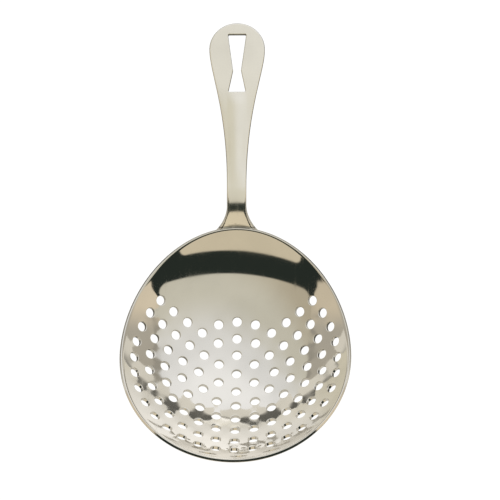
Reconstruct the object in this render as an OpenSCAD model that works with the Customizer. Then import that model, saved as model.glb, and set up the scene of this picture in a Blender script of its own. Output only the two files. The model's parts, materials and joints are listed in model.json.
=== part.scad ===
// Bar strainer with a pierced ball-shaped dish and a flat handle welded behind its rim.
// It lies as it rests on a table: the dish and the handle's tip both touch the table.
// Origin: the point where the dish touches the table. +Z is up, +Y runs towards the handle's tip.
// The modules draw in the dish's own frame, with the mouth upward, and at_rest() lays them down.

/* [Dish] */
// Inside radius of the ball that the dish is pressed to
dish_r = 53.4; // [52:0.1:58]
// Thickness of the dish's sheet
dish_sheet = 1.2; // [1:0.1:1.4]
// Width across the rim
rim_w = 79; // [76:0.2:82]
// Reach of the rim from the middle of the dish to the tip
tip_reach = 41.6; // [40:0.2:43]
// Reach of the rim from the middle of the dish to the handle
back_reach = 45.8; // [44:0.1:46]

/* [Strainer holes] */
// Diameter of a strainer hole
hole_d = 3.4; // [2.4:0.1:3.8]
// Angle from the dish's centre line to the first ring of holes, seen from the ball's centre
first_ring_angle = 7.65; // [7:0.05:8]
// Angle between one ring of holes and the next
ring_step_angle = 6.55; // [6.2:0.05:6.6]
// Number of rings around the middle hole
ring_count = 6; // [3:1:6]
// Number of rings that go all the way round
full_ring_count = 3; // [0:1:3]
// Half angle that the outer rings cover, measured from the tip
outer_ring_sweep = 135; // [90:5:140]

/* [Handle] */
// Thickness of the handle's strip
strip_t = 1.8; // [1.6:0.1:1.9]
// Angle at which the grip rises from level
grip_rise = 25; // [20:1:30]
// Outside radius of the bend between the dish's wall and the grip
bend_r = 21; // [16:1:24]
// Straight length of strip between the rim and the bend
wall_run = 3; // [2:0.5:4]
// Width of the neck
neck_w = 6.8; // [6:0.2:8]
// Width of the rounded end
lobe_w = 19.7; // [18:0.1:21]
// Length of the grip from the end of the bend to the tip
grip_len = 59.1; // [56:0.5:62]
// Distance from the end of the bend to the widest place
lobe_at = 49.6; // [48:0.2:50]
// Radius of the flare between the neck and the foot
flare_r = 11; // [10:0.5:12]
// Width of the crowned rib down the grip
rib_w = 5.8; // [5:0.2:6]
// Height of the crowned rib above the grip's face
rib_h = 0.35; // [0.2:0.05:0.4]

/* [Hanging slot] */
// Distance from the end of the bend to the slot's lower edge
slot_start = 34.1; // [33:0.5:36]
// Length of the slot
slot_len = 20.9; // [19:0.5:22]
// Distance from the slot's lower edge to its waist
slot_waist_at = 7.8; // [6:0.2:10]
// Width of the slot's lower edge
slot_low_w = 6.2; // [5:0.1:7]
// Width of the slot's waist
slot_waist_w = 2.85; // [2.5:0.05:4]
// Width of the slot's upper edge
slot_top_w = 6.5; // [5:0.1:7]

/* [Foot and welds] */
// Thickness of the foot behind the dish's wall
foot_t = 2.0; // [2:0.1:2.4]
// How far down the wall the foot reaches, measured along the grip's direction
foot_drop = 21; // [20:0.5:22]
// Diameter of a spot weld's nugget
nugget_d = 4; // [3:0.5:5]
// Depth of a nugget in each of the two sheets
nugget_depth = 0.5; // [0.3:0.1:0.6]
// Angle of the welds from the dish's centre line, seen from the ball's centre
weld_angle = 51.5; // [51:0.5:52]
// Angle of each weld either side of the handle
weld_turn = 8; // [7:0.5:9]

/* [Hidden] */
$fn = 96;

// Dish
wall_r = dish_r + dish_sheet;
rim_slope = rim_w / 2 / sqrt(wall_r ^ 2 - (rim_w / 2) ^ 2);
tip_slope = tip_reach / sqrt(wall_r ^ 2 - tip_reach ^ 2);
back_slope = back_reach / sqrt(wall_r ^ 2 - back_reach ^ 2);
cone_top = 20;
cone_bottom = dish_r + 10;
half_space = 200;
bore_reach = 4;
ball_facets = 180;
hole_facets = 32;

// Side view of the handle: points are [y, z]
function outward(angle) = [sin(angle), -cos(angle)];
function along(angle) = [cos(angle), sin(angle)];
rim_angle = asin(back_reach / wall_r);
strip_lift = 0.05;
foot_overlap = 3;
grip_overrun = 1;
strip_start = [0, dish_r] + (wall_r + strip_lift) * outward(rim_angle);
bend_start = strip_start + wall_run * along(rim_angle);
bend_centre = bend_start + bend_r * outward(rim_angle);
bend_end = bend_centre - bend_r * outward(grip_rise);
bend_steps = 20;

// Lying on the table: the handle's tip comes down until it is level with the dish's underside
tip_back = bend_end + grip_len * along(grip_rise) + strip_t * outward(grip_rise) - [0, dish_r];
rest_tilt = atan2(tip_back.y, tip_back.x) + asin(wall_r / norm(tip_back));

// Outline of the handle, square to the grip: points are [half width, distance from the bend's end]
outline_steps = 24;
flare_start = -6.6;
flare_sweep = 58;
flare_centre = [neck_w / 2 + flare_r, flare_start];
flare_end = flare_centre + flare_r * [-cos(flare_sweep), -sin(flare_sweep)];
flare_way = [sin(flare_sweep), -cos(flare_sweep)];
tip_round = 0.552;
lobe_pull = 8.3;
neck_pull = 28;
foot_side_pull = 4;
foot_end_pull = 6;
prism_low = -20;
prism_high = 10;

// Foot and welds
foot_clear = 10;
weld_facets = 48;
dimple_r = 14;
dimple_depth = 0.15;

function curve(a, b, c, d, steps) =
    [for (i = [0:steps])
        let (t = i / steps, s = 1 - t)
        s ^ 3 * a + 3 * s ^ 2 * t * b + 3 * s * t ^ 2 * c + t ^ 3 * d];

function half_outline() = concat(
    curve([0, grip_len], [tip_round * lobe_w / 2, grip_len],
        [lobe_w / 2, grip_len - (1 - tip_round) * (grip_len - lobe_at)], [lobe_w / 2, lobe_at],
        outline_steps),
    curve([lobe_w / 2, lobe_at], [lobe_w / 2, lobe_at - lobe_pull], [neck_w / 2, neck_pull], [neck_w / 2, 0],
        outline_steps),
    [for (i = [0:outline_steps])
        let (a = flare_sweep * i / outline_steps)
        flare_centre - flare_r * [cos(a), sin(a)]],
    curve(flare_end, flare_end + foot_side_pull * flare_way, [foot_end_pull, -foot_drop],
        [0, -foot_drop], outline_steps));

// A closed outline from its right half, whose first and last points lie on the middle line
function both_sides(half) = concat(half,
    [for (i = [len(half) - 2:-1:1]) [-half[i].x, half[i].y]]);

module at_rest() {
    translate([0, 0, wall_r]) rotate([-rest_tilt, 0, 0]) translate([0, 0, -dish_r]) children();
}

// Places a shape in the grip's plane: x across, y towards the tip, z out of the upper face
module in_grip_plane() {
    translate([0, bend_end.x, bend_end.y]) rotate([grip_rise, 0, 0]) children();
}

// Points a shape's -Z axis away from the ball's centre, at an angle from straight down
module from_ball_centre(angle, turn) {
    translate([0, 0, dish_r]) rotate([0, 0, turn]) rotate([angle, 0, 0]) children();
}

// Half of an elliptical cone from the ball's centre: it cuts the rim square to the sheet
module rim_half_cone(reach_slope) {
    intersection() {
        translate([0, 0, dish_r - cone_bottom]) scale([1, reach_slope / rim_slope, 1])
            cylinder(h = cone_bottom - cone_top, r1 = cone_bottom * rim_slope,
                r2 = cone_top * rim_slope);
        translate([-half_space / 2, 0, -half_space / 2]) cube(half_space);
    }
}

module rim_cone() {
    rim_half_cone(back_slope);
    mirror([0, 1, 0]) rim_half_cone(tip_slope);
}

module strainer_holes() {
    bore(0, 0);
    for (ring = [1:ring_count]) {
        ring_angle = first_ring_angle + (ring - 1) * ring_step_angle;
        for (i = [0:6 * ring - 1]) {
            turn = 360 * i / (6 * ring);
            from_tip = min(turn, 360 - turn);
            if (ring <= full_ring_count || from_tip <= outer_ring_sweep)
                bore(-ring_angle, turn);
        }
    }
}

module bore(angle, turn) {
    from_ball_centre(angle, turn)
        translate([0, 0, -wall_r - bore_reach]) cylinder(h = 2 * bore_reach, d = hole_d, $fn = hole_facets);
}

module nuggets() {
    for (side = [-1, 1])
        from_ball_centre(weld_angle, side * weld_turn)
            translate([0, 0, -wall_r - nugget_depth])
                cylinder(h = 2 * nugget_depth, d = nugget_d, $fn = weld_facets);
}

// Pressed sheet dish, pierced before pressing, with a rising oval rim
module bowl() {
    color("#cdc7b6") at_rest() difference() {
        intersection() {
            difference() {
                translate([0, 0, dish_r]) sphere(wall_r, $fn = ball_facets);
                translate([0, 0, dish_r]) sphere(dish_r, $fn = ball_facets);
            }
            rim_cone();
        }
        strainer_holes();
        nuggets();
    }
}

// One face of the strip in side view, at a depth behind its front face
function strip_face(depth) = concat(
    [strip_start - foot_overlap * along(rim_angle) + depth * outward(rim_angle)],
    [for (i = [0:bend_steps])
        let (a = rim_angle + (grip_rise - rim_angle) * i / bend_steps)
        bend_centre - (bend_r - depth) * outward(a)],
    [bend_end + (grip_len + grip_overrun) * along(grip_rise) + depth * outward(grip_rise)]);

function reversed(list) = [for (i = [len(list) - 1:-1:0]) list[i]];

module strip_profile() {
    polygon(concat(strip_face(0), reversed(strip_face(strip_t))));
}

module strip() {
    rotate([90, 0, 90]) linear_extrude(2 * lobe_w, center = true) strip_profile();
}

// Piece of a ball shell that lies on the outside of the dish
module foot_shell() {
    intersection() {
        difference() {
            translate([0, 0, dish_r]) sphere(wall_r + foot_t, $fn = ball_facets);
            translate([0, 0, dish_r]) sphere(wall_r, $fn = ball_facets);
        }
        translate([-lobe_w, lobe_w, -foot_clear])
            cube([2 * lobe_w, 2 * lobe_w, foot_clear + strip_start.y]);
    }
}

module rib() {
    crown_r = (rib_w ^ 2 / 4 + rib_h ^ 2) / (2 * rib_h);
    in_grip_plane() intersection() {
        translate([0, 0, rib_h - crown_r]) rotate([-90, 0, 0])
            cylinder(h = slot_start, r = crown_r);
        translate([-rib_w, 0, -strip_t / 2]) cube([2 * rib_w, slot_start, strip_t]);
    }
}

module hanging_slot() {
    in_grip_plane() translate([0, slot_start, -prism_high]) linear_extrude(2 * prism_high)
        polygon(both_sides([[0, 0], [slot_low_w / 2, 0], [slot_waist_w / 2, slot_waist_at],
            [slot_top_w / 2, slot_len], [0, slot_len]]));
}

module weld_dimples() {
    for (side = [-1, 1])
        from_ball_centre(weld_angle, side * weld_turn)
            translate([0, 0, -wall_r - foot_t - dimple_r + dimple_depth]) sphere(dimple_r);
}

// Stamped strip with a spread foot behind the rim, a bend, and a grip with a hanging slot
module handle() {
    color("#d8d2c2") at_rest() difference() {
        intersection() {
            union() {
                strip();
                foot_shell();
                rib();
            }
            in_grip_plane() translate([0, 0, prism_low])
                linear_extrude(prism_high - prism_low) polygon(both_sides(half_outline()));
        }
        hanging_slot();
        nuggets();
        weld_dimples();
    }
}

// Fused metal that joins the foot to the dish's wall
module spot_welds() {
    color("#a8a295") at_rest() nuggets();
}

bowl();
handle();
spot_welds();
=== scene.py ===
"""Looks of a bar strainer: a pierced dish of polished steel, with a flat handle welded behind its rim.

The strainer lies as it rests on a table. Everything is in metres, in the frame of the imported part.
"""

import json
import math

import bpy
import numpy as np
from mathutils import Matrix, Vector
from mathutils.geometry import delaunay_2d_cdt


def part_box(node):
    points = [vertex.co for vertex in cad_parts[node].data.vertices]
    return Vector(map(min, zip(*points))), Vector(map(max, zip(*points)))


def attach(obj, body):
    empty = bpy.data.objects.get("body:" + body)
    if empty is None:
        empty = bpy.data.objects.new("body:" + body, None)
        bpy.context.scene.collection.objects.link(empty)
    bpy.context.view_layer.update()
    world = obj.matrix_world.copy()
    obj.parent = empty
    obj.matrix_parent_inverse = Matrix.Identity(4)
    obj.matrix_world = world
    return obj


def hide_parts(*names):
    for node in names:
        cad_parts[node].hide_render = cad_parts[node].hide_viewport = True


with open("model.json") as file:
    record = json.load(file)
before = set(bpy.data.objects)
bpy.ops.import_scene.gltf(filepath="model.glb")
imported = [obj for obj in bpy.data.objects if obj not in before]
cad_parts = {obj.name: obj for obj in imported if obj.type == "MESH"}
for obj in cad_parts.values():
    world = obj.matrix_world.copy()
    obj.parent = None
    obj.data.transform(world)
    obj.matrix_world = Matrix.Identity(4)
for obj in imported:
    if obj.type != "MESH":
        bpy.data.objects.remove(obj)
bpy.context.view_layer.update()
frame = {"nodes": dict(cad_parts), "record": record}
MM = 0.001

# ---------------------------------------------------------------- places that come from the frame
mounts = {mount["name"]: mount for mount in frame["record"]["mounts"]}
ACROSS = np.array([1.0, 0.0, 0.0])
MOUTH = -np.array(mounts["glass_mouth"]["axis"])
AHEAD = np.cross(MOUTH, ACROSS)
underside = np.array(mounts["glass_mouth"]["pos_m"])
WALL_R = underside[2] / (1 - MOUTH[2])
BALL_CENTRE = underside + WALL_R * MOUTH
grip_normal = np.array(mounts["hanging_slot"]["axis"])
GRIP_RISE = math.atan2(-grip_normal @ AHEAD, grip_normal @ MOUTH)
RIM_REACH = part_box("bowl")[1].x
LOBE_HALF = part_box("handle")[1].x

# ---------------------------------------------------------------- the dish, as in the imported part
SHEET = 1.2 * MM
TIP_REACH = 41.6 * MM
BACK_REACH = 45.8 * MM
HOLE_R = 1.7 * MM
FIRST_RING = math.radians(7.65)
RING_STEP = math.radians(6.55)
RINGS = 6
FULL_RINGS = 3
OUTER_SWEEP = 135
SINK_DEPTH = 0.04 * MM
SINK_FADE = 0.8 * MM

# ---------------------------------------------------------------- the handle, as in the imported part
STRIP = 1.8 * MM
FOOT_T = 2.0 * MM
BEND_R = 21 * MM
WALL_RUN = 3 * MM
GRIP_LEN = 59.1 * MM
LOBE_AT = 49.6 * MM
LOBE_PULL = 8.3 * MM
NECK_PULL = 28 * MM
NECK_HALF = 3.4 * MM
FLARE_R = 11 * MM
FLARE_START = -6.6 * MM
FLARE_SWEEP = math.radians(58)
FOOT_DROP = 21 * MM
FOOT_PULL = 4 * MM
FOOT_HALF = 6 * MM
FOOT_WIDENING = 2.6
FOOT_WIDE_AT = -9 * MM
TIP_ROUND = 0.552
RIB_RISE = 0.35 * MM
RIB_HALF_NECK = 2.9 * MM
RIB_HALF_SLOT = 3.7 * MM
DOME_DROP = 0.5 * MM
SLOT_START = 34.1 * MM
SLOT_LEN = 20.9 * MM
SLOT_WAIST = 7.8 * MM
SLOT_HALVES = (3.1 * MM, 1.425 * MM, 3.25 * MM)
WELD_ANGLE = math.radians(51.5)
WELD_TURN = math.radians(8)
WELD_MARK_R = 1.5 * MM
WELD_MARK_DEPTH = 0.15 * MM


def unit(vectors):
    """The vectors, each scaled to length 1."""
    return vectors / np.linalg.norm(vectors, axis=-1, keepdims=True)


def column(values):
    """A column of values, to scale rows of coordinates."""
    return np.asarray(values)[:, None]


def smooth_step(low, high, values):
    """0 below low, 1 above high, smooth between them."""
    t = np.clip((values - low) / (high - low), 0, 1)
    return t * t * (3 - 2 * t)


# ---------------------------------------------------------------- sheets of steel
# A sheet is laid out flat on a blank and then shaped. Its surface function takes points of the
# blank and their depths below the front face, and gives places in the row frame. Each loop is a
# function: it gives the loop's points, anticlockwise, moved into the metal by an inset. Collars are
# rows of extra points at set insets, which keep the triangles beside an edge even; a margin keeps
# the grid of points that fills the rest clear of them. A rounding holds the width and depth of an
# edge's rounding at the front face, then at the back.
NUDGE = 0.02 * MM
HOLE_COLLARS = (0.45 * MM, 0.8 * MM, 1.2 * MM)
HOLE_MARGIN = 1.7 * MM
HOLE_ROUNDING = ((0.25 * MM, 0.2 * MM), (0.12 * MM, 0.12 * MM))
RIM_COLLARS = (1.55 * MM, 2.0 * MM)
RIM_MARGIN = 2.5 * MM
RIM_ROUNDING = ((1.2 * MM, 0.28 * MM), (0.3 * MM, 0.22 * MM))
DISH_GRID_HALF = 60 * MM
DISH_SPACING = 1.3 * MM
STRIP_COLLARS = (0.7 * MM, 1.0 * MM, 1.35 * MM)
STRIP_MARGIN = 1.65 * MM
STRIP_ROUNDING = ((0.45 * MM, 0.45 * MM), (0.4 * MM, 0.4 * MM))
STRIP_GRID_HALF = 12 * MM
STRIP_SPACING = 0.55 * MM
OUTLINE_SPACING = 0.42 * MM
SLOT_COLLARS = (0.55 * MM, 0.9 * MM)
SLOT_MARGIN = 1.2 * MM
SLOT_ROUNDING = ((0.3 * MM, 0.3 * MM), (0.25 * MM, 0.25 * MM))
SLOT_SPACING = 0.22 * MM
SLOT_CORNER_RADII = np.array([0.4, 0.6, 0.4, 0.4, 0.6, 0.4]) * MM


def front_normals(surface, points, depth):
    """Numerical normals of a sheet, pointing out of its front face."""
    step_u = np.array([NUDGE, 0.0])
    step_v = np.array([0.0, NUDGE])
    along_u = surface(points + step_u, depth) - surface(points - step_u, depth)
    along_v = surface(points + step_v, depth) - surface(points - step_v, depth)
    return unit(np.cross(along_u, along_v))


def rounded_edge(front, back, thickness, steps=5):
    """Rows of an edge with two elliptical roundings, each given as (width, depth).

    The rows run from the front face to the back: inset, depth and how far the normal has turned.
    """
    rows = []
    for t in np.linspace(0, math.pi / 2, steps):
        turn = math.atan2(front[1] * math.sin(t), front[0] * math.cos(t))
        rows.append((front[0] * (1 - math.sin(t)), front[1] * (1 - math.cos(t)), turn))
    for t in np.linspace(math.pi / 2, 0, steps):
        turn = math.atan2(back[1] * math.sin(t), back[0] * math.cos(t))
        depth = thickness - back[1] * (1 - math.cos(t))
        rows.append((back[0] * (1 - math.sin(t)), depth, math.pi - turn))
    return rows


def triangulate(points, loop_sizes):
    """Triangles between an outline, its openings and the loose points that follow them."""
    edges = []
    loop_of = np.full(len(points), -1)
    start = 0
    for number, size in enumerate(loop_sizes):
        edges += [(start + i, start + (i + 1) % size) for i in range(size)]
        loop_of[start:start + size] = number
        start += size
    flat = [Vector(p) for p in points / MM]
    _, _, faces, origins, _, _ = delaunay_2d_cdt(flat, edges, [], 0, 1e-6)
    kept = []
    for face in faces:
        a, b, c = (origins[i][0] for i in face)
        if loop_of[a] == loop_of[b] == loop_of[c] >= 0:
            i, j, k = sorted((a, b, c))
            p, q = points[j] - points[i], points[k] - points[i]
            turns_left = p[0] * q[1] - p[1] * q[0] > 0
            if turns_left != (loop_of[a] == 0):
                continue
        p, q = points[b] - points[a], points[c] - points[a]
        kept.append((a, b, c) if p[0] * q[1] - p[1] * q[0] > 0 else (a, c, b))
    return kept


def edge_rows(loop, rows, surface):
    """Places and normals of all the rows of a loop's edge."""
    places = []
    normals = []
    for inset, depth, turn in rows:
        ring = loop(inset)
        depths = np.full(len(ring), depth)
        at = surface(ring, depths)
        front = front_normals(surface, ring, depths)
        out = at - surface(loop(inset + NUDGE), depths)
        out = unit(out - front * column(np.sum(out * front, axis=1)))
        places.append(at)
        normals.append(front * math.cos(turn) + out * math.sin(turn))
    return places, normals


def sheet(name, surface, thickness, loops, loose, marks):
    """A closed sheet with rounded edges. loops holds (loop function, edge rows), outline first.

    marks names functions of place that the material reads, such as shade painted into a seam.
    """
    sizes = [len(loop(0)) for loop, _ in loops]
    flat = np.concatenate([loop(rows[0][0]) for loop, rows in loops] + [loose])
    triangles = np.array(triangulate(flat, sizes))
    places = []
    normals = []
    faces = []
    loose_start = []
    wear = []
    for depth, side in ((0.0, 1), (thickness, -1)):
        depths = np.full(len(loose), depth)
        loose_start.append(sum(len(p) for p in places))
        places.append(surface(loose, depths))
        normals.append(side * front_normals(surface, loose, depths))
        wear.append(np.zeros(len(loose)))
    front_ids = []
    back_ids = []
    for number, (loop, rows) in enumerate(loops):
        row_places, row_normals = edge_rows(loop, rows, surface)
        start = sum(len(p) for p in places)
        size = sizes[number]
        places += row_places
        normals += row_normals
        wear += [np.full(size, math.sin(turn)) for _, _, turn in rows]
        ids = start + np.arange(len(rows) * size).reshape(len(rows), size)
        following = np.roll(ids, -1, axis=1)
        quads = np.stack([ids[:-1], ids[1:], following[1:], following[:-1]], axis=-1)
        if number:
            quads = quads[..., ::-1]
        faces += quads.reshape(-1, 4).tolist()
        front_ids.append(ids[0])
        back_ids.append(ids[-1])
    front_ids = np.concatenate(front_ids + [loose_start[0] + np.arange(len(loose))])
    back_ids = np.concatenate(back_ids + [loose_start[1] + np.arange(len(loose))])
    faces += front_ids[triangles].tolist()
    faces += back_ids[triangles[:, ::-1]].tolist()
    mesh = bpy.data.meshes.new(name)
    places = np.concatenate(places)
    mesh.from_pydata(places.tolist(), [], faces, shade_flat=False)
    mesh.normals_split_custom_set_from_vertices(unit(np.concatenate(normals)).tolist())
    values = {"edge": np.concatenate(wear)}
    values.update({mark: worked_out(places) for mark, worked_out in marks.items()})
    for mark, at_points in values.items():
        attribute = mesh.attributes.new(mark, "FLOAT", "POINT")
        attribute.data.foreach_set("value", at_points.astype(np.float32))
    piece = bpy.data.objects.new(name, mesh)
    bpy.context.scene.collection.objects.link(piece)
    return piece


# ---------------------------------------------------------------- the dish
# The dish's blank holds distances along the ball from the middle of the dish: across and ahead.


def ball_direction(blank):
    """Direction from the ball's centre to each point of the blank."""
    angle = np.linalg.norm(blank, axis=1) / WALL_R
    flat = blank * column(np.sinc(angle / math.pi)) / WALL_R
    return flat[:, :1] * ACROSS + flat[:, 1:] * AHEAD - column(np.cos(angle)) * MOUTH


def on_blank(directions):
    """The blank's point for each direction from the ball's centre."""
    flat = np.stack([directions @ ACROSS, directions @ AHEAD], axis=1)
    length = np.linalg.norm(flat, axis=1)
    angle = np.arctan2(length, -directions @ MOUTH)
    return flat * column(WALL_R * angle / np.maximum(length, NUDGE))


def dish_direction(angle, turn):
    """Direction at an angle from the dish's middle, turned from the tip's side."""
    flat = np.array([[math.sin(turn), -math.cos(turn)]]) * WALL_R * angle
    return ball_direction(flat)[0]


def hole_directions():
    """Directions of the holes: one in the middle, then rings, the outer ones open to the handle."""
    found = [dish_direction(0, 0)]
    for ring in range(1, RINGS + 1):
        angle = FIRST_RING + (ring - 1) * RING_STEP
        for i in range(6 * ring):
            turn = 360 * i / (6 * ring)
            if ring <= FULL_RINGS or min(turn, 360 - turn) <= OUTER_SWEEP:
                found.append(dish_direction(angle, math.radians(turn)))
    return np.array(found)


HOLES = hole_directions()


def hole_distance(directions):
    """Distance along the ball from each direction to the middle of the nearest hole."""
    return WALL_R * np.arccos(np.clip(np.max(directions @ HOLES.T, axis=1), -1, 1))


def dish_surface(blank, depth):
    """The sheet sinks a little around each hole, where the punch pulled it."""
    direction = ball_direction(blank)
    sink = SINK_DEPTH * np.exp(-(hole_distance(direction) - HOLE_R) / SINK_FADE)
    return BALL_CENTRE + column(WALL_R - SHEET + depth + sink) * direction


def hole_loop(middle, points=36):
    """A round hole about a direction."""
    side = unit(np.cross(middle, ACROSS + 0.3 * AHEAD))
    other = np.cross(side, middle)
    turns = np.linspace(0, 2 * math.pi, points, endpoint=False)
    spokes = column(np.cos(turns)) * side + column(np.sin(turns)) * other

    def loop(inset):
        angle = (HOLE_R + inset) / WALL_R
        return on_blank(math.cos(angle) * middle + math.sin(angle) * spokes)

    flat = loop(0)
    area = np.sum(flat[:, 0] * np.roll(flat[:, 1], -1) - flat[:, 1] * np.roll(flat[:, 0], -1))
    if area < 0:
        spokes = spokes[::-1]
    return loop


def slope(reach):
    """A reach of the rim over the rim's distance below the ball's centre."""
    return reach / math.sqrt(WALL_R ** 2 - reach ** 2)


def rim_angle(turns):
    """Angle of the rim from the dish's middle: one ellipse towards the handle, one towards the tip."""
    reach = np.where(np.sin(turns) > 0, slope(BACK_REACH), slope(TIP_REACH))
    return np.arctan(1 / np.hypot(np.cos(turns) / slope(RIM_REACH), np.sin(turns) / reach))


def past_rim(places):
    """Distance along the ball from the rim out to each place; negative inside the rim."""
    flat = on_blank(unit(places - BALL_CENTRE))
    return np.linalg.norm(flat, axis=1) - WALL_R * rim_angle(np.arctan2(flat[:, 1], flat[:, 0]))


def rim_loop(points=420):
    """The oval edge of the dish."""
    turns = np.linspace(0, 2 * math.pi, points, endpoint=False)
    flat = np.stack([np.cos(turns), np.sin(turns)], axis=1) * column(rim_angle(turns) * WALL_R)
    edge = ball_direction(flat)
    run = np.roll(edge, -1, axis=0) - np.roll(edge, 1, axis=0)
    inward = unit(np.cross(run, edge))
    inward *= column(np.sign(np.sum(inward * -MOUTH, axis=1)))

    def loop(inset):
        turned = inset / WALL_R
        return on_blank(edge * math.cos(turned) + inward * math.sin(turned))

    return loop


def grid(low, high, spacing):
    """Points of a triangular grid over a box."""
    rows = []
    for number, y in enumerate(np.arange(low[1], high[1], spacing * math.sqrt(3) / 2)):
        xs = np.arange(low[0] + (number % 2) * spacing / 2, high[0], spacing)
        rows.append(np.stack([xs, np.full(len(xs), y)], axis=1))
    return np.concatenate(rows)


def inside(loop_points, points):
    """Which points lie inside a closed loop."""
    a = loop_points[:, None]
    b = np.roll(loop_points, -1, axis=0)[:, None]
    p = points[None]
    crosses = (a[..., 1] > p[..., 1]) != (b[..., 1] > p[..., 1])
    rise = np.where(b[..., 1] == a[..., 1], 1.0, b[..., 1] - a[..., 1])
    at = a[..., 0] + (p[..., 1] - a[..., 1]) / rise * (b[..., 0] - a[..., 0])
    return np.sum(crosses & (p[..., 0] < at), axis=0) % 2 == 1


def make_dish():
    """The pierced dish."""
    rim = rim_loop()
    hole_loops = [hole_loop(middle) for middle in HOLES]
    rings = [loop(inset) for loop in hole_loops for inset in HOLE_COLLARS]
    rim_rows = [rim(inset) for inset in RIM_COLLARS]
    low = (-DISH_GRID_HALF, -DISH_GRID_HALF)
    field = grid(low, (DISH_GRID_HALF, DISH_GRID_HALF), DISH_SPACING)
    field = field[inside(rim(RIM_MARGIN), field)]
    field = field[hole_distance(ball_direction(field)) > HOLE_R + HOLE_MARGIN]
    loose = np.concatenate(rings + rim_rows + [field])
    rim_edge = rounded_edge(*RIM_ROUNDING, SHEET, 9)
    hole_edge = rounded_edge(*HOLE_ROUNDING, SHEET, 4)
    loops = [(rim, rim_edge)] + [(loop, hole_edge) for loop in hole_loops]
    return sheet("dish", dish_surface, SHEET, loops, loose, {})


# ---------------------------------------------------------------- the handle
# The handle's blank holds distances across and along the strip, from the end of the bend.
RIM_ANGLE = math.asin(BACK_REACH / WALL_R)
BEND_LEN = BEND_R * (RIM_ANGLE - GRIP_RISE)
RIM_AT = -BEND_LEN - WALL_RUN


def outward(angle):
    """Out of the back of a strip that rises at an angle, as seen from the side."""
    return np.stack([np.sin(angle), -np.cos(angle)], axis=-1)


def along(angle):
    """Up a strip that rises at an angle, as seen from the side."""
    return np.stack([np.cos(angle), np.sin(angle)], axis=-1)


def side_view(s):
    """Front face of the strip from the side: points about the ball's centre, and the rise there."""
    rim_end = WALL_R * outward(RIM_ANGLE)
    bend_start = rim_end + WALL_RUN * along(RIM_ANGLE)
    bend_centre = bend_start + BEND_R * outward(RIM_ANGLE)
    bend_end = bend_centre - BEND_R * outward(GRIP_RISE)
    on_ball = s < RIM_AT
    on_run = (s >= RIM_AT) & (s < -BEND_LEN)
    in_bend = (s >= -BEND_LEN) & (s < 0)
    rise = np.full(len(s), GRIP_RISE)
    rise = np.where(in_bend, GRIP_RISE - s / BEND_R, rise)
    rise = np.where(on_run, RIM_ANGLE, rise)
    rise = np.where(on_ball, RIM_ANGLE + (s - RIM_AT) / WALL_R, rise)
    point = bend_end + column(s) * along(GRIP_RISE)
    point = np.where(column(in_bend), bend_centre - BEND_R * outward(rise), point)
    point = np.where(column(on_run), rim_end + column(s - RIM_AT) * along(RIM_ANGLE), point)
    point = np.where(column(on_ball), WALL_R * outward(rise), point)
    return point, rise


def in_row(flat):
    """A side view's vectors in the row frame."""
    return flat[:, :1] * AHEAD + flat[:, 1:] * MOUTH


def weld_places():
    """The welds on the handle's blank."""
    ahead = RIM_AT + (WELD_ANGLE - RIM_ANGLE) * WALL_R
    aside = WALL_R * math.sin(WELD_ANGLE) * WELD_TURN
    return [(-aside, ahead), (aside, ahead)]


def dome_drop(blank):
    """How far the front falls away from the middle of the grip, below the slot."""
    half = np.interp(blank[:, 1], HALF_WIDTHS[:, 1], HALF_WIDTHS[:, 0], right=LOBE_HALF)
    half = np.maximum(half, NECK_HALF)
    starts = smooth_step(0, 14 * MM, blank[:, 1])
    ends = 1 - smooth_step(SLOT_START - 12 * MM, SLOT_START + 2 * MM, blank[:, 1])
    return DOME_DROP * np.clip(blank[:, 0] / half, -1, 1) ** 2 * starts * ends


def rib_height(blank):
    """The crowned rib between the neck and the slot."""
    half = RIB_HALF_NECK + (RIB_HALF_SLOT - RIB_HALF_NECK) * np.clip(blank[:, 1] / SLOT_START, 0, 1)
    crown = np.clip(1 - (blank[:, 0] / half) ** 2, 0, 1) ** 1.5
    starts = smooth_step(-6 * MM, 6 * MM, blank[:, 1])
    ends = 1 - smooth_step(SLOT_START - 5 * MM, SLOT_START + 2 * MM, blank[:, 1])
    return RIB_RISE * crown * starts * ends


def weld_mark(blank):
    """How deep the welding tips pressed into the back of the foot."""
    mark = np.zeros(len(blank))
    for place in weld_places():
        away = np.linalg.norm(blank - np.array(place), axis=1) / WELD_MARK_R
        mark += WELD_MARK_DEPTH * np.exp(-away ** 4)
    return mark


def handle_surface(blank, depth):
    """The bent strip, whose foot curls to the ball's radius and thickens."""
    x, s = blank[:, 0], blank[:, 1]
    point, rise = side_view(s)
    curl = (1 - smooth_step(RIM_AT, RIM_AT + 9 * MM, s)) / WALL_R
    middle = BALL_CENTRE + in_row(point)
    front = -in_row(outward(rise))
    share = depth / STRIP
    thickness = STRIP + (FOOT_T - STRIP) * (1 - smooth_step(RIM_AT, RIM_AT + 5 * MM, s))
    crown = rib_height(blank) - dome_drop(blank)
    below = share * thickness - (1 - share) * crown - share * weld_mark(blank)
    aside = x * np.sinc(curl * x / math.pi)
    lift = curl * x ** 2 / 2 * np.sinc(curl * x / 2 / math.pi) ** 2
    normal = front * column(np.cos(curl * x)) - ACROSS * column(np.sin(curl * x))
    return middle + column(aside) * ACROSS + column(lift) * front - column(below) * normal


def curve(a, b, c, d, steps=60):
    """A cubic curve from a to d, pulled towards b and c."""
    t = column(np.linspace(0, 1, steps))
    s = 1 - t
    return s ** 3 * a + 3 * s ** 2 * t * b + 3 * s * t ** 2 * c + t ** 3 * d


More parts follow.
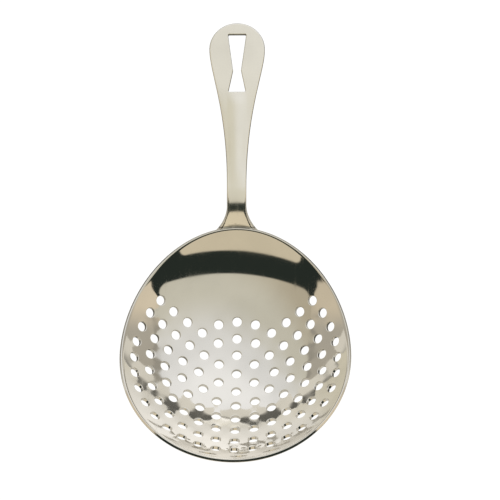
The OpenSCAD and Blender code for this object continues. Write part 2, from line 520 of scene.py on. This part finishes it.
def half_outline():
    """Right half of the handle's outline, square to the grip: half width, and distance along it."""
    tip = np.array([0, GRIP_LEN])
    lobe = np.array([LOBE_HALF, LOBE_AT])
    neck = np.array([NECK_HALF, 0])
    tip_pull = np.array([LOBE_HALF, GRIP_LEN - (1 - TIP_ROUND) * (GRIP_LEN - LOBE_AT)])
    head = curve(tip, tip + np.array([TIP_ROUND * LOBE_HALF, 0]), tip_pull, lobe)
    side = curve(lobe, lobe - np.array([0, LOBE_PULL]), neck + np.array([0, NECK_PULL]), neck)
    turns = np.linspace(0, FLARE_SWEEP, 30)
    flare_centre = np.array([NECK_HALF + FLARE_R, FLARE_START])
    flare = flare_centre - FLARE_R * along(turns)
    way = np.array([math.sin(FLARE_SWEEP), -math.cos(FLARE_SWEEP)])
    foot_end = np.array([0, -FOOT_DROP])
    foot = curve(flare[-1], flare[-1] + FOOT_PULL * way, foot_end + np.array([FOOT_HALF, 0]), foot_end)
    return np.concatenate([head, side[1:], flare, foot[1:]])


def along_strip(points):
    """Turns distances along the grip into distances along the strip, which bends at the neck."""
    s = np.linspace(RIM_AT - 15 * MM, GRIP_LEN + MM, 4000)
    point, _ = side_view(s)
    start, _ = side_view(np.zeros(1))
    v = (point - start) @ along(GRIP_RISE)
    return np.stack([points[:, 0], np.interp(points[:, 1], v, s)], axis=1)


HALF_WIDTHS = along_strip(half_outline())[::-1]


def spread(points, spacing):
    """A closed loop's points, evenly spaced."""
    closed = np.concatenate([points, points[:1]])
    length = np.concatenate([[0], np.cumsum(np.linalg.norm(np.diff(closed, axis=0), axis=1))])
    at = np.linspace(0, length[-1], round(length[-1] / spacing), endpoint=False)
    return np.stack([np.interp(at, length, closed[:, 0]), np.interp(at, length, closed[:, 1])], axis=1)


def offset_loop(points, sign, widening=1.0):
    """A loop from anticlockwise points; the metal is on its left for sign 1, on its right for -1.

    widening makes an inset wider at some of the points.
    """
    run = np.roll(points, -1, axis=0) - np.roll(points, 1, axis=0)
    left = unit(np.stack([-run[:, 1], run[:, 0]], axis=1)) * sign * np.reshape(widening, (-1, 1))
    return lambda inset: points + left * inset


def seam_painted_shade(places):
    """Painted shade on the foot, in the groove along the rim."""
    reach = (0.65 - 0.4 * smooth_step(1.5 * MM, 5 * MM, np.abs(places[:, 0]))) * MM
    return np.exp(-((past_rim(places) - 0.3 * MM) / reach) ** 4)


def weld_heat(places):
    """Heat tint around the welds on the back of the foot."""
    heat = np.zeros(len(places))
    for side in (-1, 1):
        weld = BALL_CENTRE + (WALL_R + FOOT_T) * dish_direction(-WELD_ANGLE, side * WELD_TURN)
        heat += np.exp(-(np.linalg.norm(places - weld, axis=1) / (2.6 * MM)) ** 2)
    return heat


def rounded_corners(corners, radius, steps=7):
    """A polygon with its corners rounded."""
    made = []
    count = len(corners)
    for i in range(count):
        here = corners[i]
        back = unit(corners[i - 1] - here)
        on = unit(corners[(i + 1) % count] - here)
        half_turn = math.acos(np.clip(-(back @ on), -1, 1)) / 2
        reach = radius[i] * math.tan(half_turn)
        centre = here + unit(back + on) * radius[i] / math.cos(half_turn)
        first, last = here + back * reach, here + on * reach
        for t in np.linspace(0, 1, steps):
            blend = unit((first - centre) * (1 - t) + (last - centre) * t)
            made.append(centre + radius[i] * blend)
    return np.array(made)


def slot_corners():
    """The six corners of the hanging slot, which is narrow at its waist."""
    low, waist, top = SLOT_HALVES
    right = [[low, 0], [waist, SLOT_WAIST], [top, SLOT_LEN]]
    left = [[-x, y] for x, y in reversed(right)]
    return np.array(right + left) + np.array([0, SLOT_START])


def make_handle():
    """The flat handle with its slot, and its foot on the back of the dish."""
    half = half_outline()
    full = np.concatenate([half, (half * np.array([-1, 1]))[-2:0:-1]])
    points = spread(along_strip(full)[::-1], OUTLINE_SPACING)
    widening = FOOT_WIDENING - (FOOT_WIDENING - 1) * smooth_step(FOOT_WIDE_AT, 0, points[:, 1])
    outline = offset_loop(points, 1, widening)
    slot = spread(rounded_corners(slot_corners(), SLOT_CORNER_RADII), SLOT_SPACING)
    opening = offset_loop(slot, -1)
    rows = [outline(inset) for inset in STRIP_COLLARS]
    slot_rows = [opening(inset) for inset in SLOT_COLLARS]
    low = (-STRIP_GRID_HALF, RIM_AT - 12 * MM)
    field = grid(low, (STRIP_GRID_HALF, GRIP_LEN), STRIP_SPACING)
    in_metal = inside(outline(STRIP_MARGIN), field) & ~inside(opening(SLOT_MARGIN), field)
    loose = np.concatenate(rows + slot_rows + [field[in_metal]])
    strip_edge = rounded_edge(*STRIP_ROUNDING, STRIP, 8)
    slot_edge = rounded_edge(*SLOT_ROUNDING, STRIP, 5)
    loops = [(outline, strip_edge), (opening, slot_edge)]
    # The seam mark is painted shade in the groove along the rim.
    marks = {"painted_shade": seam_painted_shade, "heat": weld_heat}
    return sheet("strip_handle", handle_surface, STRIP, loops, loose, marks)


# ---------------------------------------------------------------- materials
class Field:
    """A number worked out by a node tree; arithmetic on it adds math nodes."""

    def __init__(self, tree, socket):
        self.tree = tree
        self.socket = socket

    def math(self, operation, *others):
        made = self.tree.nodes.new("ShaderNodeMath")
        made.operation = operation
        for socket, value in zip(made.inputs, (self, *others)):
            put(self.tree, socket, value)
        return Field(self.tree, made.outputs[0])

    def __add__(self, other):
        return self.math("ADD", other)

    def __sub__(self, other):
        return self.math("SUBTRACT", other)

    def __mul__(self, other):
        return self.math("MULTIPLY", other)

    def __truediv__(self, other):
        return self.math("DIVIDE", other)

    def ramp(self, low, high):
        """0 below low, 1 above high, smooth between them; low above high turns it round."""
        made = self.tree.nodes.new("ShaderNodeMapRange")
        made.interpolation_type = "SMOOTHSTEP"
        ends = (low, high) if low < high else (high, low)
        values = (0.0, 1.0) if low < high else (1.0, 0.0)
        names = ("Value", "From Min", "From Max", "To Min", "To Max")
        for name, value in zip(names, (self, *ends, *values)):
            put(self.tree, made.inputs[name], value)
        return Field(self.tree, made.outputs["Result"])


def put(tree, socket, value):
    """Links a field or a socket to a node's input, or sets a plain value."""
    if isinstance(value, Field):
        tree.links.new(value.socket, socket)
    elif isinstance(value, bpy.types.NodeSocket):
        tree.links.new(value, socket)
    elif isinstance(value, tuple) and len(value) == 3 and len(socket.default_value) == 4:
        socket.default_value = (*value, 1.0)
    else:
        socket.default_value = value


def add_node(tree, kind, inputs, **settings):
    """A new node with its settings made and its named inputs set or linked."""
    made = tree.nodes.new(kind)
    for name, value in settings.items():
        setattr(made, name, value)
    for name, value in inputs.items():
        put(tree, made.inputs[name], value)
    return made


def mixed(tree, share, first, second):
    """A colour that goes from first to second as share goes from 0 to 1."""
    made = tree.nodes.new("ShaderNodeMix")
    made.data_type = "RGBA"
    put(tree, made.inputs[0], share)
    put(tree, made.inputs[6], first)
    put(tree, made.inputs[7], second)
    return made.outputs[2]


def noise(tree, coordinates, stretch, scale, detail=2.0):
    """Noise whose features are stretched along an axis."""
    moved = add_node(tree, "ShaderNodeMapping", {"Vector": coordinates, "Scale": stretch})
    settings = {"Vector": moved.outputs[0], "Scale": scale, "Detail": detail}
    made = add_node(tree, "ShaderNodeTexNoise", settings)
    return Field(tree, made.outputs[0])


def mark(tree, name):
    """A value that a piece's mesh holds at its points; 0 where the piece has none."""
    made = add_node(tree, "ShaderNodeAttribute", {}, attribute_name=name)
    return Field(tree, made.outputs["Fac"])


# Colour of the shade painted into the seam between the handle's foot and the rim.
PAINTED_SEAM_SHADE = (0.05, 0.05, 0.04)
HEAT_TINT = (0.42, 0.30, 0.16)


def steel(name, tint, roughness, hairline_stretch, hairline_share):
    """Polished steel with hairlines from the buffing wheel, faint smears and brighter, rubbed edges."""
    material = bpy.data.materials.new(name)
    material.use_nodes = True
    tree = material.node_tree
    shader = tree.nodes["Principled BSDF"]
    place = tree.nodes.new("ShaderNodeTexCoord").outputs["Object"]
    smears = noise(tree, place, (1, 1, 1), 55, 3)
    cloud = noise(tree, place, (1, 1, 1), 160, 2)
    hairlines = noise(tree, place, hairline_stretch, 1, 3).ramp(0.55, 0.75)
    waves = noise(tree, place, (1, 1, 1), 110, 1)
    edge, painted_shade, heat = (mark(tree, kind) for kind in ("edge", "painted_shade", "heat"))
    worn = edge * cloud.ramp(0.35, 0.7)
    darker = tuple(channel * 0.93 for channel in tint)
    brighter = tuple(min(1.0, channel * 1.06) for channel in tint)
    colour = mixed(tree, smears.ramp(0.35, 0.7), tint, darker)
    colour = mixed(tree, worn * 0.6, colour, brighter)
    # Painted shade darkens the foot in the seam along the rim.
    colour = mixed(tree, painted_shade * 0.8, colour, PAINTED_SEAM_SHADE)
    colour = mixed(tree, heat * 0.5, colour, HEAT_TINT)
    put(tree, shader.inputs["Base Color"], colour)
    put(tree, shader.inputs["Metallic"], 1.0)
    rough = smears.ramp(0.3, 0.75) * 0.05 + hairlines * hairline_share + worn * 0.08 + roughness
    put(tree, shader.inputs["Roughness"], rough)
    height = hairlines * 0.04 + waves
    bump = add_node(tree, "ShaderNodeBump", {"Strength": 1.0, "Distance": 0.006 * MM, "Height": height})
    put(tree, shader.inputs["Normal"], bump.outputs[0])
    return material


# ---------------------------------------------------------------- studio
WHITE = (1.0, 1.0, 1.0)
FLOOR_HALF = 4.0
# Emission colours of the table as the steel sees it: a painted shadow round the handle, painted light
# elsewhere.
FLOOR_PAINTED_SHADOW = (0.02, 0.02, 0.019)
FLOOR_PAINTED_LIGHT = (0.68, 0.65, 0.58)
HANDLE_PAINTED_SHADOW_Y = 0.06

# Places in the sky are degrees from straight up: aside towards +X, and away towards +Y.
SOFTBOX_HALF = 45
SOFTBOX_END = 80
SOFTBOX_CORNER = 13
GAP_HALF = 57
GAP_END = -15.5
CARD_HALF = 45
CARD_MIDDLE = -4.5
CARD_START = -32.5
DARK_STUDIO = (0.024, 0.031, 0.026)
CARD_CREAM = (0.73, 0.645, 0.48)
ROOM_FAR = (0.50, 0.465, 0.395)
ROOM_LEFT = (0.72, 0.63, 0.48)
ROOM_RIGHT = (0.80, 0.70, 0.54)
SOFTBOX_FRAME = (0.08, 0.08, 0.07)


def floor_painted_light_and_shadow(tree):
    """The table's glow as the steel sees it: a painted shadow round the handle, painted light under the
    dish and past both ends.
    """
    place = tree.nodes.new("ShaderNodeTexCoord").outputs["Object"]
    split = add_node(tree, "ShaderNodeSeparateXYZ", {"Vector": place})
    x, y = (Field(tree, split.outputs[i]) for i in range(2))
    from_painted_shadow = y - HANDLE_PAINTED_SHADOW_Y
    distance = (x * x + from_painted_shadow * from_painted_shadow).math("SQRT")
    # Painted light away from the handle's painted shadow, under the dish and past the tip.
    beyond = distance.ramp(0.036, 0.1) * y.ramp(-0.03, 0.07)
    painted_light_under_dish = (x * x + y * y).math("SQRT").ramp(0.044, 0.03) * 0.6
    past_tip = y.ramp(-0.025, -0.045) * 0.8
    lit = beyond.math("MAXIMUM", painted_light_under_dish).math("MAXIMUM", past_tip)
    return mixed(tree, lit, FLOOR_PAINTED_SHADOW, FLOOR_PAINTED_LIGHT)


def make_floor():
    """A wide table that is plain white to the camera; in the steel's reflections it glows with a
    painted shadow round the handle.
    """
    mesh = bpy.data.meshes.new("floor")
    half = FLOOR_HALF
    corners = [(-half, -half, 0), (half, -half, 0), (half, half, 0), (-half, half, 0)]
    mesh.from_pydata(corners, [], [(0, 1, 2, 3)])
    floor = bpy.data.objects.new("floor", mesh)
    bpy.context.scene.collection.objects.link(floor)
    material = bpy.data.materials.new("pale_floor")
    material.use_nodes = True
    tree = material.node_tree
    shader = tree.nodes["Principled BSDF"]
    seen = Field(tree, tree.nodes.new("ShaderNodeLightPath").outputs["Is Camera Ray"])
    put(tree, shader.inputs["Base Color"], (0.11, 0.11, 0.105))
    put(tree, shader.inputs["Roughness"], 0.9)
    put(tree, shader.inputs["Emission Color"], mixed(tree, seen, floor_painted_light_and_shadow(tree), WHITE))
    put(tree, shader.inputs["Emission Strength"], 1.0)
    mesh.materials.append(material)


def round_corner(depth, side, radius):
    """1 inside a card and 0 outside, given how deep a place is behind two of its edges."""
    past_depth = (depth * -1 + radius).math("MAXIMUM", 0.0)
    past_side = (side * -1 + radius).math("MAXIMUM", 0.0)
    past = (past_depth * past_depth + past_side * past_side).math("SQRT")
    return past.ramp(radius + 0.7, radius - 0.7)


def sky_place(tree):
    """How far aside and how far away each direction of the sky lies."""
    direction = tree.nodes.new("ShaderNodeTexCoord").outputs["Generated"]
    split = add_node(tree, "ShaderNodeSeparateXYZ", {"Vector": direction})
    x, y, z = (Field(tree, split.outputs[i]) for i in range(3))
    level = (x * x + y * y).math("SQRT").math("MAXIMUM", 1e-4)
    fallen = z.math("ARCCOSINE") * (180 / math.pi) / level
    return x * fallen, y * fallen


def softbox_light(tree, aside, away):
    """The softbox's face, which brightens from a warm near end to a white far end."""
    glow = away + aside * 0.45 - aside * aside * 0.011
    lit = mixed(tree, glow.ramp(-45, -2), (0.56, 0.50, 0.38), (0.69, 0.665, 0.565))
    lit = mixed(tree, glow.ramp(0, 42), lit, (0.88, 0.88, 0.87))
    return mixed(tree, glow.ramp(40, 70), lit, (1.05, 1.05, 1.05))


def softbox_in_room(tree, aside, away):
    """The softbox, a rounded rectangle with a dark frame, and the cream room around it."""
    past_side = (aside.math("ABSOLUTE") - SOFTBOX_HALF).math("MAXIMUM", 0.0)
    past_end = (away - SOFTBOX_END).math("MAXIMUM", 0.0)
    past = (past_side * past_side + past_end * past_end).math("SQRT")
    softbox = past.ramp(SOFTBOX_CORNER, SOFTBOX_CORNER - 1)
    outline = (past - (SOFTBOX_CORNER + 1.5)).math("ABSOLUTE").ramp(3.0, 0.5) * away.ramp(5, 25)
    near_room = mixed(tree, aside.ramp(-70, 70), ROOM_LEFT, ROOM_RIGHT)
    room = mixed(tree, away.ramp(6, 30), near_room, ROOM_FAR)
    room = mixed(tree, outline * 0.28, room, SOFTBOX_FRAME)
    return mixed(tree, softbox, room, softbox_light(tree, aside, away))


def with_dark_gap(tree, aside, away, sky):
    """The sky with dark studio in front of the softbox, as far as a cream card."""
    wide = aside.math("ABSOLUTE")
    arc = aside * aside * 0.0032 - aside * 0.04
    beyond = round_corner(away - GAP_END - arc, (wide - GAP_HALF) * -1, 7)
    off_middle = (aside - CARD_MIDDLE).math("ABSOLUTE")
    card = round_corner(away * -1 + CARD_START + arc, (off_middle - CARD_HALF) * -1, 5)
    sides = (wide - away.ramp(4, -8) * 6 - (GAP_HALF - 0.5)).ramp(-0.5, 0.5) * away.ramp(-12, -9)
    bright = beyond.math("MAXIMUM", card).math("MAXIMUM", sides)
    return mixed(tree, bright, DARK_STUDIO, mixed(tree, card, sky, CARD_CREAM))


def make_studio_light():
    """The studio as the steel sees it, stronger after several bounces; the camera sees plain white."""
    world = bpy.data.worlds.new("studio")
    bpy.context.scene.world = world
    world.use_nodes = True
    tree = world.node_tree
    background = tree.nodes["Background"]
    aside, away = sky_place(tree)
    sky = with_dark_gap(tree, aside, away, softbox_in_room(tree, aside, away))
    path = tree.nodes.new("ShaderNodeLightPath")
    seen = Field(tree, path.outputs["Is Camera Ray"])
    again = Field(tree, path.outputs["Ray Depth"]).ramp(2.4, 2.6)
    put(tree, background.inputs["Color"], mixed(tree, seen, sky, WHITE))
    put(tree, background.inputs["Strength"], again * 0.4 + 1.0)


def make_camera():
    """Looks almost straight down on the strainer."""
    place = Vector((15.1, 7.2, 509.0)) * MM
    aim = Vector((4.95, 15.25, 20.0)) * MM
    back = (place - aim).normalized()
    right = Vector((0, 1, 0)).cross(back).normalized()
    up = back.cross(right)
    data = bpy.data.cameras.new("camera")
    data.lens = 102.9
    data.sensor_width = 36
    data.clip_start = 0.01
    camera = bpy.data.objects.new("camera", data)
    camera.matrix_world = Matrix((right, up, back)).transposed().to_4x4()
    camera.location = place
    bpy.context.scene.collection.objects.link(camera)
    bpy.context.scene.camera = camera


def dress(piece, material, node):
    """Gives a piece its material and its place on the part, in the stead of a CAD node."""
    piece.data.materials.append(material)
    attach(piece, "root")
    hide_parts(node)


dish_steel = steel("dish_steel", (0.78, 0.76, 0.72), 0.03, (900, 60, 60), 0.05)
handle_steel = steel("handle_steel", (0.92, 0.895, 0.835), 0.10, (1200, 40, 40), 0.10)
weld_steel = steel("weld_steel", (0.55, 0.53, 0.50), 0.35, (300, 300, 300), 0.2)
dress(make_dish(), dish_steel, "bowl")
dress(make_handle(), handle_steel, "handle")
weld_node = frame["nodes"]["spot_welds"]
weld_node.data.materials.clear()
weld_node.data.materials.append(weld_steel)

make_floor()
make_studio_light()
make_camera()
bpy.context.scene.view_settings.view_transform = "Standard"
